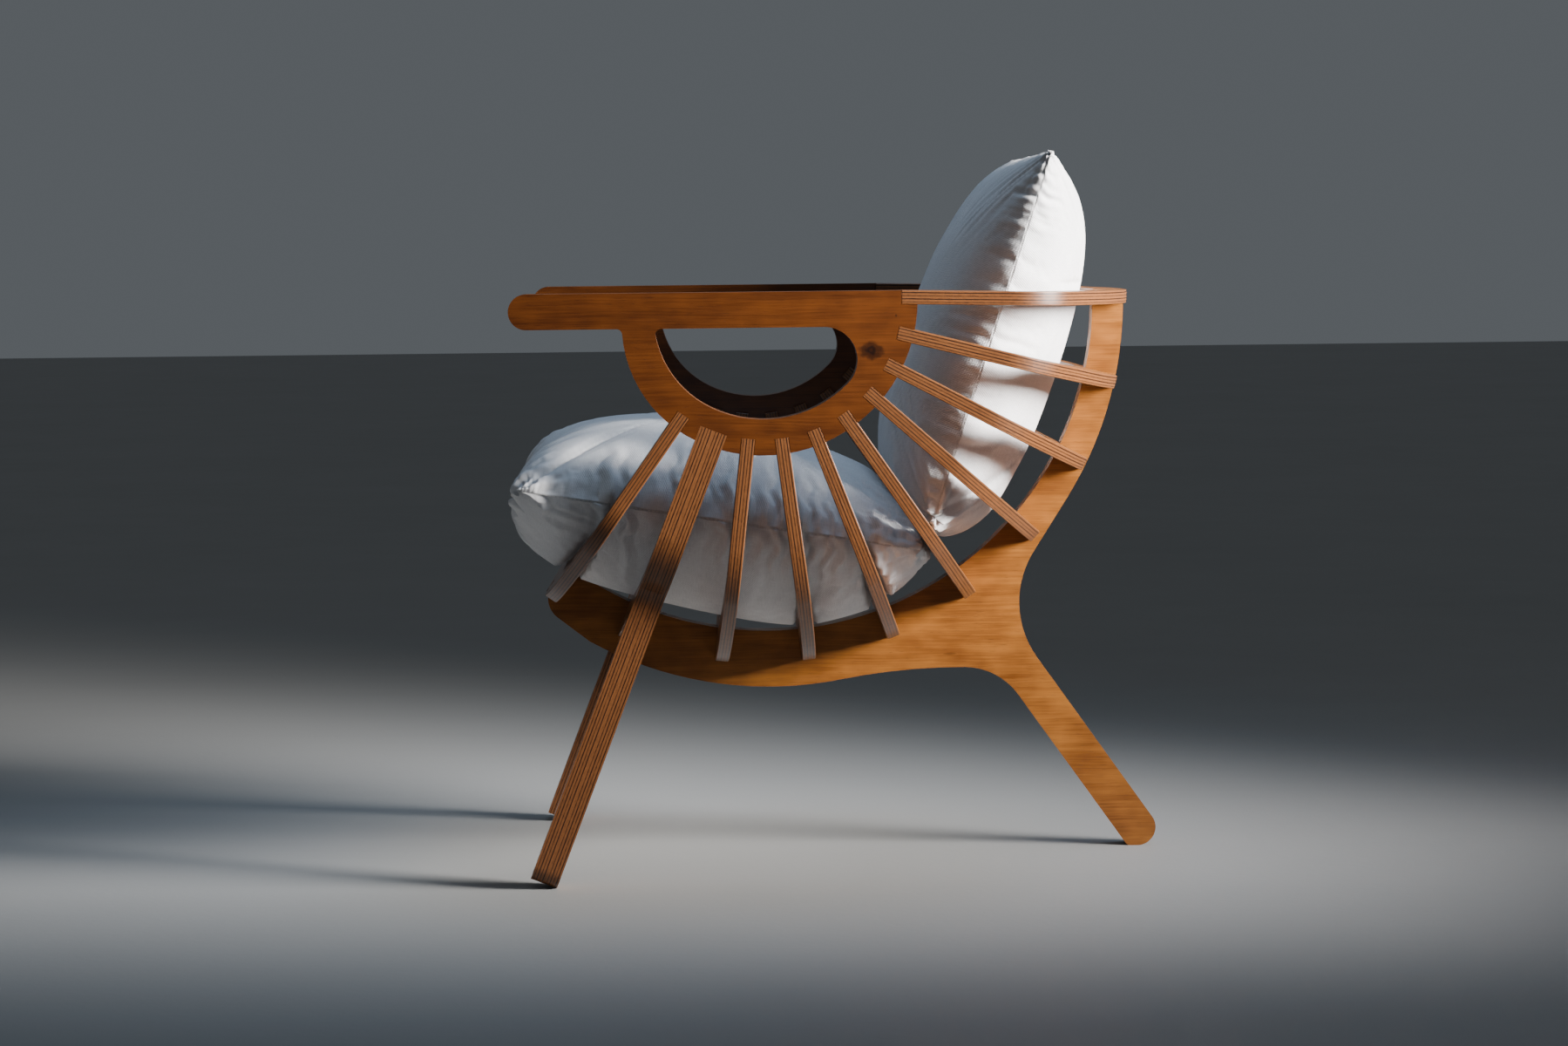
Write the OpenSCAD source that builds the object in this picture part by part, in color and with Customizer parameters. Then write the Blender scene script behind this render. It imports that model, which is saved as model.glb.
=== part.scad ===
// Fan-rib lounge chair.
//
// Two D-shaped arm boards carry a fan of U-shaped plywood ribs.  Every rib lies in a
// plane that holds one line across the chair, the hub line, so the ribs open like
// a fan from the arms to a central spine.  The spine runs under the seat, up the back and
// down to the floor as the one rear leg.  A doubled rib makes the two front legs.
// Two loose pillows lie in the bowl of the ribs.
//
// Millimetres, +Z up.  X runs across the chair, the sitter looks along -Y.

/* [Sheet] */
// thickness of one plywood board
ply = 15; // [14.5:0.5:15.5]
// play left in a slot between two boards
play = 0.1; // [0.05:0.05:0.2]

/* [Hub] */
// width over the outer faces of the arms
chair_w = 660; // [650:5:670]
// height of the hub line above the floor
hub_z = 637; // [632:1:642]
// hub line measured from the middle of the footprint, forward is negative
hub_y = -83.8; // [-86:0.1:-82]

/* [Arms] */
// outer radius of the D of an arm
rim_r = 165; // [163:1:168]
// radius of the hole in the D
hole_r = 126.5; // [124:0.5:128]
// depth of the arm rest bar
bar_h = 38; // [36:1:40]
// top of the arm rest above the hub line
bar_rise = 9; // [8:0.5:10]
// tip of the arm rest in front of the hub line
bar_reach = 270; // [262:1:276]
// outer radius of the front flank of the D
flank_r = 137.6; // [135:0.2:140]
// radius of the front flank of the hole
hole_flank_r = 107; // [104:0.5:109]
// turn from the rear at which the flanks take over from the big arcs
flank_turn = 116; // [112:1:120]
// rounding of the rear upper corner of the hole
hole_corner = 35; // [30:1:38]
// small rounding at the front of the hole and under the arm rest
small_round = 6; // [4:0.5:8]

/* [Fan] */
// radius at which the arm slots end
slot_r = 148; // [147:0.5:150]
// turn of the second rib below level, looking to the rear
first_turn = 14.1; // [13.9:0.1:14.3]
// turn from one of the seven equal ribs to the next
rib_turn = 13.72; // [13.62:0.02:13.82]
// turn of the rib with the front legs
leg_turn = 111.1; // [110.8:0.1:111.4]
// turn of the front rib
front_turn = 125.2; // [124.8:0.1:125.6]
// reach of a rib on the middle line
rib_reach = 419; // [418:0.5:420]
// depth of a rib on the middle line
rib_depth = 49; // [48:0.5:50]
// width of a rib side where it enters an arm
side_w = 37; // [35:1:40]
// radius of the long outer bow of a rib
bow_r = 540; // [520:5:560]
// outer corner radius of a rib
corner_r = 75; // [70:1:85]
// inner corner radius of a rib
in_corner_r = 45; // [42:1:55]
// where rib and spine meet in their crossed slots, from the inner edge of the rib
lap_depth = 31; // [30:0.5:32]
// how much less deep the top rail is than a rib
rail_less = 11; // [9:0.5:12]
// tilt of the top rail, down to the rear
rail_tilt = 1.2; // [1:0.1:1.3]
// lift of the top rail above the hub line
rail_lift = 4.8; // [4.6:0.1:4.9]

/* [Front legs] */
// width of a front leg
leg_w = 44; // [42:1:46]
// step inward from the arm face to the front leg
leg_inset = 50; // [46:1:54]
// rounding where a leg leaves its rib
leg_fillet = 30; // [26:1:32]
// rounding of the outer corner of a foot
foot_round = 18; // [14:1:20]

/* [Spine] */
// how far the inner arc of the spine is set back from the ribs
spine_set = 3.6; // [3.2:0.1:4]
// depth of the spine at the upper back
spine_w = 49.9; // [49.5:0.1:50.5]
// depth of the spine under the seat
belly_w = 51.3; // [50.8:0.1:51.8]
// turn of the straight run below the back, down from level
run_turn = 32.3; // [32:0.1:32.6]
// length of the straight run below the back
back_run = 71.7; // [71:0.1:72.4]
// radius of the hollow behind the back
bend_r = 109.5; // [109:0.1:110]
// depth of the rear leg
rear_w = 42.6; // [42.2:0.1:43]
// lean of the rear leg from upright
rear_lean = 35.3; // [35:0.1:35.6]
// radius of the crotch in front of the rear leg
crotch_r = 77; // [76.6:0.1:77.4]
// how far the crotch sits below the hollow, along the rear leg
crotch_drop = 22.2; // [21.8:0.1:22.6]
// radius of the shallow arch under the spine
arch_r = 720; // [700:5:740]
// radius of the rounded nose
nose_r = 28; // [27.6:0.1:28.4]
// turn of the nose around the belly, down from level
nose_turn = 125.4; // [125:0.1:125.8]
// how far the nose is tucked into the belly arc
nose_tuck = 4; // [3.6:0.1:4.4]
// turn at which the rounding of the nose starts, up from level
nose_start = 172; // [171:1:173]
// how much earlier than the nose ends the belly arc starts
nose_blend = 6; // [5:1:7]
// rounding at the back of the rear foot
heel_r = 21; // [20:0.5:22]
// rounding at the front of the rear foot
toe_r = 5; // [4:0.5:6]

/* [Seat cushion] */
// length of the seat cushion from front to rear, in radii of the bowl
seat_share = 1.262; // [1.254:0.002:1.276]
// room between the side of the seat cushion and a rib side
seat_room = 10; // [7:1:15]
// how far the front and rear seams of the seat swell past the corners
seat_swell = 5; // [3:1:8]
// how much fuller the top of the seat is at the front
seat_lean = 0.35; // [0.25:0.05:0.4]
// how much fuller the underside of the seat is at the rear
under_lean = 0.25; // [0.15:0.05:0.3]
// rise of the front corners of the seat cushion
seat_wrap_front = 30; // [26:1:33]
// rise of the rear corners of the seat cushion
seat_wrap_rear = 17; // [14:1:20]
// slope of the seat cushion, down to the rear
seat_slope = 7; // [6:0.5:8]
// rise of the crown above the seam
seat_crown = 119; // [112:1:124]
// sag of the underside below the seam
seat_sag = 98; // [92:1:102]

/* [Back cushion] */
// length of the back cushion from top to bottom, in radii of the bowl
back_share = 1.106; // [1.096:0.002:1.114]
// room between the side of the back cushion and a rib side
back_room = 13; // [10:1:18]
// how far the bottom seam of the back hangs below its corners
back_hang = 31; // [27:1:34]
// how far the top seam of the back stands above its corners
back_stand = 2; // [0:1:4]
// lean of the back cushion from upright
back_lean = 14.7; // [14.3:0.1:15.1]
// rise of the front of the back cushion
back_crown = 88; // [84:1:91]
// rise of the rear of the back cushion
back_sag = 84; // [80:1:86]
// how much fuller the front of the back cushion is at the bottom
back_rise = 0.42; // [0.36:0.02:0.46]
// how much fuller the rear of the back cushion is at the top
back_fall = 0.35; // [0.29:0.02:0.39]
// forward bend of the lower corners of the back cushion
back_wrap_low = 28; // [24:1:31]
// forward bend of the upper corners of the back cushion
back_wrap_top = 3; // [0:1:6]
// how much sharper the back cushion ends at its top seam
back_pinch = 0.15; // [0.1:0.05:0.2]

/* [Cushion making] */
// thickness of the cloth with its lining
cloth = 2; // [1.6:0.1:2.4]
// air between a cushion and the wood or the other cushion
air = 0.3; // [0.3:0.05:0.4]
// squareness of a pillow across, a larger power is squarer
side_power = 2.6; // [2.4:0.1:3]
// how far the side seams draw in between the corners
side_draw = 10; // [6:1:14]
// fullness of the cushion sides, a smaller power is fuller
fullness = 0.33; // [0.31:0.01:0.36]

/* [Hidden] */

// colours of the parts
wood = [0.72, 0.45, 0.24];
wood_light = [0.80, 0.54, 0.30];
linen = [0.92, 0.91, 0.89];
wadding = [0.97, 0.97, 0.96];

// arcs are drawn with one short chord every few degrees
step = 5;
half_w = chair_w / 2;
arm_t = 2 * ply;
// reach of the front legs, so that the rear edge of each foot stands on the floor
foot_r = (hub_z - ply * abs(cos(leg_turn))) / sin(leg_turn);
slot_w = ply + 2 * play;

// radii of the fan on the middle line: inner edge of a rib, inner edge of the top rail, laps
rib_in = rib_reach - rib_depth;
rail_in = rib_in + rail_less;
lap_r = rib_in + lap_depth;

// where the front seam of the seat and the bottom seam of the back would run, corner to corner
seat_front = rib_in * [-0.7527, -0.6376];
back_foot = rib_in * [0.57, -0.6595];
// the plane on which the two cushions press together: a point and its downward lean
press_p = rib_in * [0.4324, -0.6378];
press_a = 37.2;

// rib arcs: centre of the bow, of the outer corner and of the inner corner
bow_c = rib_reach - bow_r;
corner_x = half_w - corner_r;
corner_y = bow_c + sqrt(pow(bow_r - corner_r, 2) - pow(corner_x, 2));
in_half = half_w - side_w;
in_corner_x = in_half - in_corner_r;

// cushion sizes
seat_l = seat_share * rib_in;
seat_w = 2 * (in_half - seat_room);
back_l = back_share * rib_in;
back_w = 2 * (in_half - back_room);

// centre of an inner bow that ends at reach e on the middle line and meets the inner corner
function in_bow_c(e) =
    (pow(in_corner_x, 2) + pow(corner_y, 2) - pow(e - in_corner_r, 2))
    / (2 * (corner_y - (e - in_corner_r)));

function arc(c, r, a, b) =
    let (n = max(2, ceil(abs(b - a) / step)))
    [for (i = [0:n]) c + r * [cos(a + (b - a) * i / n), sin(a + (b - a) * i / n)]];

function fine_arc(c, r, a, b) =
    let (n = max(2, ceil(2 * abs(b - a) / step)))
    [for (i = [0:n]) c + r * [cos(a + (b - a) * i / n), sin(a + (b - a) * i / n)]];

function flip(points) = [for (i = [len(points) - 1:-1:0]) [-points[i][0], points[i][1]]];

function unit(a) = [cos(a), sin(a)];

// turn of a direction, from 0 to 360
function turn_of(p) = (atan2(p[1], p[0]) + 360) % 360;

// turn from a first centre to a point that is a from it and b from a second centre, p away
function meet_turn(p, a, b) = turn_of(p) - acos((p * p + a * a - b * b) / (2 * norm(p) * a));

// the direction square to a rib, toward the next one forward
function ahead(turn) = [-sin(turn), -cos(turn)];

// a board standing along the chair, its inner face at x
module side_board(x, t) {
    translate([x, hub_y, hub_z])
        rotate([90, 0, 90])
            linear_extrude(t)
                children();
}

// a board in the plane of a rib, its middle off by d from the hub plane
module fan_board(turn, d, t) {
    translate([0, hub_y, hub_z])
        rotate([-turn, 0, 0])
            translate([0, 0, d - t / 2])
                linear_extrude(t)
                    children();
}

// the slot a rib needs in a side board, from radius a to radius b
module slot_shape(turn, lift, w, a, b) {
    translate([0, lift])
        rotate(-turn)
            translate([a, -w / 2])
                square([b - a, w]);
}

module rib_slots(a, b) {
    for (i = [0:6]) {
        slot_shape(first_turn + i * rib_turn, 0, slot_w, a, b);
    }
    slot_shape(leg_turn, 0, slot_w + ply, a, b);
    slot_shape(front_turn, 0, slot_w, a, b);
}

// arms

flank_c = (rim_r - flank_r) * unit(-flank_turn);
hole_flank_c = (hole_r - hole_flank_r) * unit(-flank_turn);
bar_low = bar_rise - bar_h;
bar_r = bar_h / 2;
// where the flank meets the underside of the bar
flank_drop = flank_c[1] - (bar_low - small_round);
flank_meet = flank_c[0] - sqrt(pow(flank_r + small_round, 2) - pow(flank_drop, 2));

module arm_outline() {
    flank_end = atan2(bar_low - small_round - flank_c[1], flank_meet - flank_c[0]);
    polygon(concat(
        [[rim_r, bar_rise]],
        arc([0, 0], rim_r, 0, -flank_turn),
        arc(flank_c, flank_r, -flank_turn, flank_end > 0 ? flank_end - 360 : flank_end),
        arc([flank_meet, bar_low - small_round], small_round, flank_end + 180, 90),
        arc([bar_r - bar_reach, bar_rise - bar_r], bar_r, 270, 90)
    ));
}

module hole_outline() {
    corner_c = [
        sqrt(pow(hole_r - hole_corner, 2) - pow(bar_low - hole_corner, 2)),
        bar_low - hole_corner
    ];
    drop = bar_low - small_round - hole_flank_c[1];
    front_c = [
        hole_flank_c[0] - sqrt(pow(hole_flank_r - small_round, 2) - pow(drop, 2)),
        bar_low - small_round
    ];
    corner_turn = atan2(corner_c[1], corner_c[0]);
    front_end = atan2(drop, front_c[0] - hole_flank_c[0]);
    polygon(concat(
        arc(corner_c, hole_corner, 90, corner_turn),
        arc([0, 0], hole_r, corner_turn, -flank_turn),
        arc(hole_flank_c, hole_flank_r, -flank_turn, front_end > 0 ? front_end - 360 : front_end),
        arc(front_c, small_round, front_end > 0 ? front_end : front_end + 360, 90)
    ));
}

module arm_shape() {
    difference() {
        arm_outline();
        hole_outline();
        rib_slots(slot_r - play, rim_r + ply);
        slot_shape(rail_tilt, rail_lift, slot_w, slot_r - play, rim_r + ply);
        // the notch of the top rail is open above
        translate([slot_r - play, 0])
            square([ply + rim_r - slot_r, bar_rise + ply]);
    }
}

module left_arm_outer() {
    color(wood) side_board(half_w - ply, ply) arm_shape();
}

module left_arm_inner() {
    color(wood) side_board(half_w - arm_t, ply) arm_shape();
}

module right_arm_outer() {
    color(wood) side_board(-half_w, ply) arm_shape();
}

module right_arm_inner() {
    color(wood) side_board(ply - half_w, ply) arm_shape();
}

// spine

// radii and centres of the long arcs, each centre as [rearward, up] from the hub line
spine_in_r = rib_in + spine_set;
spine_out_r = spine_in_r + spine_w;
belly_r = spine_in_r + belly_w;
spine_in_c = rib_reach * [0.0184, -0.0232];
spine_out_c = rib_reach * [-0.0169, -0.0217];
belly_c = rib_reach * [0.027, -0.0547];
// turns of the inner arc: just below the top rail, and a little in front of the front rib
spine_top = -1;
past_rib = 2.6;
spine_front = -front_turn - past_rib;
// down the rear leg, and square to it toward the rear
leg_dir = [sin(rear_lean), -cos(rear_lean)];
leg_out = [cos(rear_lean), sin(rear_lean)];
// the hollow behind the back, after the straight run
bend_c = spine_out_c + (spine_out_r + bend_r) * unit(-run_turn) + back_run * unit(-run_turn - 90);
leg_back_p = bend_c - bend_r * leg_out;
leg_front_p = leg_back_p - rear_w * leg_out;
crotch_c = leg_front_p - crotch_r * leg_out + crotch_drop * leg_dir;
// the arch touches the belly from outside and holds the crotch
arch_turn = meet_turn(crotch_c - belly_c, arch_r + belly_r, arch_r - crotch_r);
arch_c = belly_c + (arch_r + belly_r) * unit(arch_turn);
nose_c = belly_c + (belly_r - nose_r - nose_tuck) * unit(-nose_turn);
// radius from the hub line at which the nose meets the front face of the front rib
nose_top_r = (rib_reach + lap_r + nose_tuck) / 2;
// heel and toe circles touch the floor and the two edges of the rear leg
heel_y = heel_r - hub_z;
heel_x = leg_back_p[0] + (leg_out[1] * (leg_back_p[1] - heel_y) - heel_r) / leg_out[0];
toe_y = toe_r - hub_z;
toe_x = leg_front_p[0] + (leg_out[1] * (leg_front_p[1] - toe_y) + toe_r) / leg_out[0];

module spine_outline() {
    nose_top = nose_top_r * unit(-front_turn) + ply / 2 * ahead(front_turn);
    polygon(concat(
        // the two upper corners stand above the cut for the top rail
        [[spine_out_r + spine_out_c[0], 0]],
        [[spine_in_r + spine_in_c[0], 0]],
        fine_arc(spine_in_c, spine_in_r, spine_top, spine_front),
        [nose_top],
        arc(nose_c, nose_r, nose_start, 360 - nose_turn),
        fine_arc(belly_c, belly_r, 360 + nose_blend - nose_turn, turn_of(arch_c - belly_c)),
        fine_arc(arch_c, arch_r, turn_of(belly_c - arch_c), turn_of(crotch_c - arch_c)),
        arc(crotch_c, crotch_r, turn_of(crotch_c - arch_c), rear_lean),
        arc([toe_x, toe_y], toe_r, 180 + rear_lean, 270),
        arc([heel_x, heel_y], heel_r, -90, rear_lean),
        arc(bend_c, bend_r, 180 + rear_lean, 180 - run_turn),
        fine_arc(spine_out_c, spine_out_r, -run_turn, spine_top)
    ));
}

module spine_shape() {
    difference() {
        spine_outline();
        rib_slots(rib_in - ply, lap_r + play / 2);
        slot_shape(rail_tilt, rail_lift + ply, slot_w + 2 * ply, rib_in - ply, rib_reach + ply);
    }
}

module spine_left() {
    color(wood_light) side_board(0, ply) spine_shape();
}

module spine_right() {
    color(wood_light) side_board(-ply, ply) spine_shape();
}

// ribs

// outer edge from the middle line to the arm end, right half
function rib_outer() =
    let (a = atan2(corner_y - bow_c, corner_x))
    concat(
        fine_arc([0, bow_c], bow_r, 90, a),
        arc([corner_x, corner_y], corner_r, a, 0),
        [[half_w, slot_r]]
    );

function rib_inner(e) =
    let (c = in_bow_c(e), a = atan2(corner_y - c, in_corner_x))
    concat(
        [[in_half, slot_r]],
        arc([in_corner_x, corner_y], in_corner_r, 0, a),
        fine_arc([0, c], e - c, a, 90)
    );

module rib_blank(e) {
    polygon(concat(rib_outer(), rib_inner(e), flip(rib_inner(e)), flip(rib_outer())));
}

module rib_shape() {
    difference() {
        rib_blank(rib_in);
        translate([-ply - play, lap_r - play / 2])
            square([2 * (ply + play), rib_reach]);
    }
}

module rib(i) {
    color(i % 2 == 0 ? wood : wood_light)
        fan_board(first_turn + (i - 1) * rib_turn, 0, ply)
            rib_shape();
}

module rib_1() {
    rib(1);
}

module rib_2() {
    rib(2);
}

module rib_3() {
    rib(3);
}

module rib_4() {
    rib(4);
}

module rib_5() {
    rib(5);
}

module rib_6() {
    rib(6);
}

module rib_7() {
    rib(7);
}

module front_rib() {
    color(wood) fan_board(front_turn, 0, ply) rib_shape();
}

module top_rail() {
    color(wood_light)
        translate([0, 0, rail_lift])
            fan_board(rail_tilt, 0, ply)
                rib_blank(rail_in);
}

// leg rib

leg_x = half_w - leg_inset;
leg_in_x = leg_x - leg_w;

// outline of one front leg, with fillets into the bow and the outer corner of the rib
function leg_points() =
    let (
        in_x = leg_in_x - leg_fillet,
        out_x = leg_x + leg_fillet,
        in_c = [in_x, bow_c + sqrt(pow(bow_r + leg_fillet, 2) - pow(in_x, 2))],
        out_c = [out_x, corner_y + sqrt(pow(corner_r + leg_fillet, 2) - pow(out_x - corner_x, 2))],
        in_a = atan2(bow_c - in_c[1], -in_c[0]),
        out_a = atan2(corner_y - out_c[1], corner_x - out_c[0]),
        sink = leg_fillet + side_w / 2
    )
    concat(
        [in_c + sink * unit(in_a)],
        arc(in_c, leg_fillet, in_a, 0),
        [[leg_in_x, foot_r]],
        arc([leg_x - foot_round, foot_r - foot_round], foot_round, 90, 0),
        arc(out_c, leg_fillet, 180, out_a + 360),
        [out_c + sink * unit(out_a)]
    );

module leg_rib_shape() {
    rib_shape();
    polygon(leg_points());
    polygon(flip(leg_points()));
}

module leg_rib_rear() {
    color(wood) fan_board(leg_turn, ply / 2, ply) leg_rib_shape();
}

module leg_rib_front() {
    color(wood_light) fan_board(leg_turn, -ply / 2, ply) leg_rib_shape();
}

// cushions

// grid of the pillow surfaces
rows = 14;
cols = 14;

function spread(i, n) = (1 - cos(180 * i / n)) / 2;

// push the point [x, y, z] from the hub line into the bowl of the ribs, c clear of it;
// in front of the front rib the bowl runs on straight, above the top rail it is open
function in_bowl(p, c) =
    let (
        yz = [p[1], p[2]],
        out = unit(-front_turn),
        fore = ahead(front_turn),
        past = yz * fore > 0 && yz * out > 0,
        r = past ? yz * out : norm(yz),
        x = abs(p[0]),
        bc = in_bow_c(rib_in),
        at_corner = x * (corner_y - bc) > in_corner_x * (r - bc),
        mid = at_corner ? [in_corner_x, corner_y] : [0, bc],
        lim = (at_corner ? in_corner_r : rib_in - bc) - c,
        d = norm([x, r] - mid),
        q = r <= corner_y ? [min(x, in_half - c), r] : (d > lim ? mid + ([x, r] - mid) * lim / d : [x, r]),
        new = past ? fore * (yz * fore) + out * q[1] : yz * q[1] / r
    )
    p[2] > ply && p[1] > 0 ? p : [sign(p[0]) * q[0], new[0], new[1]];

// keep a point on its side of the plane where the cushions press together
function pressed(p, side, c) =
    let (
        n = [cos(press_a), sin(press_a)],
        d = side * ([p[1], p[2]] - press_p) * n
    )
    d < c ? [p[0], p[1] + side * (c - d) * n[0], p[2] + side * (c - d) * n[1]] : p;

// height of a pillow over its seam plane at s along and u across, both from 0 to 1;
// pinch sharpens the end at s = 1
function puff(s, u, lean, pinch) =
    pow(4 * s * (1 - s), fullness + pinch * pow(s, 6)) * (1 + lean * (0.5 - s))
    * pow(1 - pow(abs(2 * u - 1), side_power), 0.5);

// one pillow point: base of the seam, slope, size, crown with its lean and pinch, then for both
// ends how far the seam swells past its corners and how high they are wrapped, and what is
// taken off all round
function pillow_point(s, u, side, base, slope, l, w, crown, lean, pinch, swell, wrap, off) =
    let (
        v = 2 * u - 1,
        hw = w / 2 - off - side_draw * 4 * s * (1 - s),
        start = off - swell[0] * (1 - v * v),
        end = l - off + swell[1] * (1 - v * v),
        along = start + s * (end - start),
        rise = wrap[0] + (wrap[1] - wrap[0]) * s,
        h = side * (crown - off) * puff(s, u, lean, pinch) + rise * v * v,
        dir = unit(slope),
        up = [-dir[1], dir[0]],
        yz = base + along * dir + h * up
    )
    [hw * v, yz[0], yz[1]];

function seat_point(s, u, side, off) =
    pressed(in_bowl(pillow_point(s, u, side, seat_front, -seat_slope, seat_l, seat_w,
        side > 0 ? seat_crown : seat_sag, side > 0 ? seat_lean : -under_lean, 0,
        [seat_swell, seat_swell], [seat_wrap_front, seat_wrap_rear], off), air + off), -1, air + off);

function back_point(s, u, side, off) =
    pressed(in_bowl(pillow_point(s, u, side, back_foot, 90 - back_lean, back_l, back_w,
        side > 0 ? back_crown : back_sag, side > 0 ? back_rise : -back_fall, back_pinch,
        [back_hang, back_stand], [back_wrap_low, back_wrap_top], off), air + off), 1, air + off);

// number of grid point i, j
function id(i, j) = i * (cols + 1) + j;

// two triangles for each square of a grid, its numbers raised by k; the squares are cut
// toward the nearest corner of the pillow
function cut_in(i, j) = (i < rows / 2) == (j < cols / 2);
function grid_up(k) = [for (i = [0:rows - 1], j = [0:cols - 1], n = [0, 1])
    let (
        a = k + id(i, j),
        b = k + id(i + 1, j),
        c = k + id(i + 1, j + 1),
        d = k + id(i, j + 1)
    )
    cut_in(i, j) ? (n == 0 ? [a, b, c] : [a, c, d]) : (n == 0 ? [a, b, d] : [b, c, d])];

function turned(faces) = [for (f = faces) [f[0], f[2], f[1]]];

// numbers of the rim points, once round
rim = concat(
    [for (j = [0:cols - 1]) id(0, j)],
    [for (i = [0:rows - 1]) id(i, cols)],
    [for (j = [cols:-1:1]) id(rows, j)],
    [for (i = [rows:-1:1]) id(i, 0)]
);

// a cloth panel between an outer and an inner grid; up is 1 for the crown side
module panel(outer, inner, up) {
    k = len(outer);
    n = len(rim);
    hem = [for (i = [0:n - 1], m = [0, 1]) m == 0
        ? [rim[i], rim[(i + 1) % n], k + rim[(i + 1) % n]]
        : [rim[i], k + rim[(i + 1) % n], k + rim[i]]];
    faces = concat(grid_up(0), turned(grid_up(k)), hem);
    translate([0, hub_y, hub_z])
        polyhedron(concat(outer, inner), up > 0 ? faces : turned(faces));
}

// a closed pillow between a crown grid and an under grid that share their rim
module pillow(top, under) {
    k = len(top);
    on_rim = [for (i = [0:rows], j = [0:cols]) i == 0 || j == 0 || i == rows || j == cols];
    low = [for (f = turned(grid_up(0))) [for (v = f) on_rim[v] ? v : v + k]];
    translate([0, hub_y, hub_z])
        polyhedron(concat(top, under), concat(grid_up(0), low));
}

function seat_grid(side, off) =
    [for (i = [0:rows], j = [0:cols]) seat_point(spread(i, rows), spread(j, cols), side, off)];

function back_grid(side, off) =
    [for (i = [0:rows], j = [0:cols]) back_point(spread(i, rows), spread(j, cols), side, off)];

module seat_panel_top() {
    color(linen) panel(seat_grid(1, 0), seat_grid(1, cloth), 1);
}

module seat_panel_under() {
    color(linen) panel(seat_grid(-1, 0), seat_grid(-1, cloth), -1);
}

module seat_filling() {
    color(wadding) pillow(seat_grid(1, cloth + air), seat_grid(-1, cloth + air));
}

module back_panel_front() {
    color(linen) panel(back_grid(1, 0), back_grid(1, cloth), 1);
}

module back_panel_rear() {
    color(linen) panel(back_grid(-1, 0), back_grid(-1, cloth), -1);
}

module back_filling() {
    color(wadding) pillow(back_grid(1, cloth + air), back_grid(-1, cloth + air));
}

left_arm_outer();
left_arm_inner();
right_arm_outer();
right_arm_inner();
spine_left();
spine_right();
top_rail();
rib_1();
rib_2();
rib_3();
rib_4();
rib_5();
rib_6();
rib_7();
leg_rib_rear();
leg_rib_front();
front_rib();
seat_panel_top();
seat_panel_under();
seat_filling();
back_panel_front();
back_panel_rear();
back_filling();
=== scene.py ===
# %% [markdown]
# # A lounge chair with a fan of plywood ribs
# This lesson dresses a chair that is already built as exact solids. The solids come in as a
# fixed frame, in metres, standing on the floor. Every step below lays a finish over a board or
# makes a cushion that rides on a body of the frame.

# %% Load the frame
import math

import bmesh
import bpy
import numpy as np
from mathutils import Matrix, Vector
from mathutils.bvhtree import BVHTree


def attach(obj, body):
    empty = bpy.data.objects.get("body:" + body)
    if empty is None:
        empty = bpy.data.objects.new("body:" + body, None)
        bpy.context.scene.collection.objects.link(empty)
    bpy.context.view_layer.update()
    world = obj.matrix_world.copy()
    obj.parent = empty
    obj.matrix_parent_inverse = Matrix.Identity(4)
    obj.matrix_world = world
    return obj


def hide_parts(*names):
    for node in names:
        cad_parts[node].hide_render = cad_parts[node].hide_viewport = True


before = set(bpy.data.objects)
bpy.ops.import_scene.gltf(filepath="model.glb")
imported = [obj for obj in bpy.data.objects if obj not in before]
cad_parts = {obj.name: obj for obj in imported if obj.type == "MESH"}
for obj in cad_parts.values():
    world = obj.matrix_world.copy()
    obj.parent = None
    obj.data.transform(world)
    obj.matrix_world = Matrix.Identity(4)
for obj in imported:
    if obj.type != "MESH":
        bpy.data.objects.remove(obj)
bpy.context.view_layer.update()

# %% [markdown]
# ## The camera
# The picture was taken from the sitter's left, a little above the arm and from far away, so the
# boards hardly shrink with distance. Lines that run across the chair meet at one point of the
# picture. That point, the middle of the picture and the length of the lens give the camera's
# three directions, so no turning by hand is needed.

# %% Place the camera
PICTURE = (1799, 1200)
LENS_PX = 4587.7
MEETING_PX = (804.52, 270.09)
ROLL = -0.01207
EYE = (4.5779, -0.1478, 0.7064)
SENSOR_MM, FAR_CLIP = 36, 60


def unit(vector):
    return np.array(vector, float) / np.linalg.norm(vector)


def show(name, data):
    """A new object in the scene."""
    thing = bpy.data.objects.new(name, data)
    bpy.context.collection.objects.link(thing)
    return thing


across = unit([MEETING_PX[0] - PICTURE[0] / 2, MEETING_PX[1] - PICTURE[1] / 2, LENS_PX])
upright = np.array([ROLL, -1.0, 0.0])
upright = unit(upright - across * (upright @ across))
rearward = np.cross(upright, across)
rearward *= math.copysign(1, rearward[0])
axes = np.column_stack([-across, rearward, upright])
camera = show("camera", bpy.data.cameras.new("camera"))
camera.data.sensor_width = SENSOR_MM
camera.data.lens = SENSOR_MM * LENS_PX / PICTURE[0]
camera.data.clip_end = FAR_CLIP
turn = Matrix([axes[0], -axes[1], -axes[2]]).transposed().to_4x4()
camera.matrix_world = Matrix.Translation(EYE) @ turn
bpy.context.scene.camera = camera
print("camera: lens %.1f mm, %.2f m from the middle" % (camera.data.lens, EYE[0]))

# %% [markdown]
# ## A way to write finishes
# A finish in Blender is a net of nodes. Placing them by hand hides the sums that they do, so a
# small class wraps a socket: adding or multiplying two wrapped sockets adds the Math node, and
# the same sum on vectors adds a Vector Math node. A Math node would turn a colour grey, so
# colours only meet in the Mix node.

# %% A wrapped socket


def operator(operation, turned=False):
    """A method that adds one node. Turned is for a plain number on the left, as in 1 - mask."""

    def method(self, other):
        return self.sum(operation, *((other, self) if turned else (self, other)))

    return method


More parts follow.
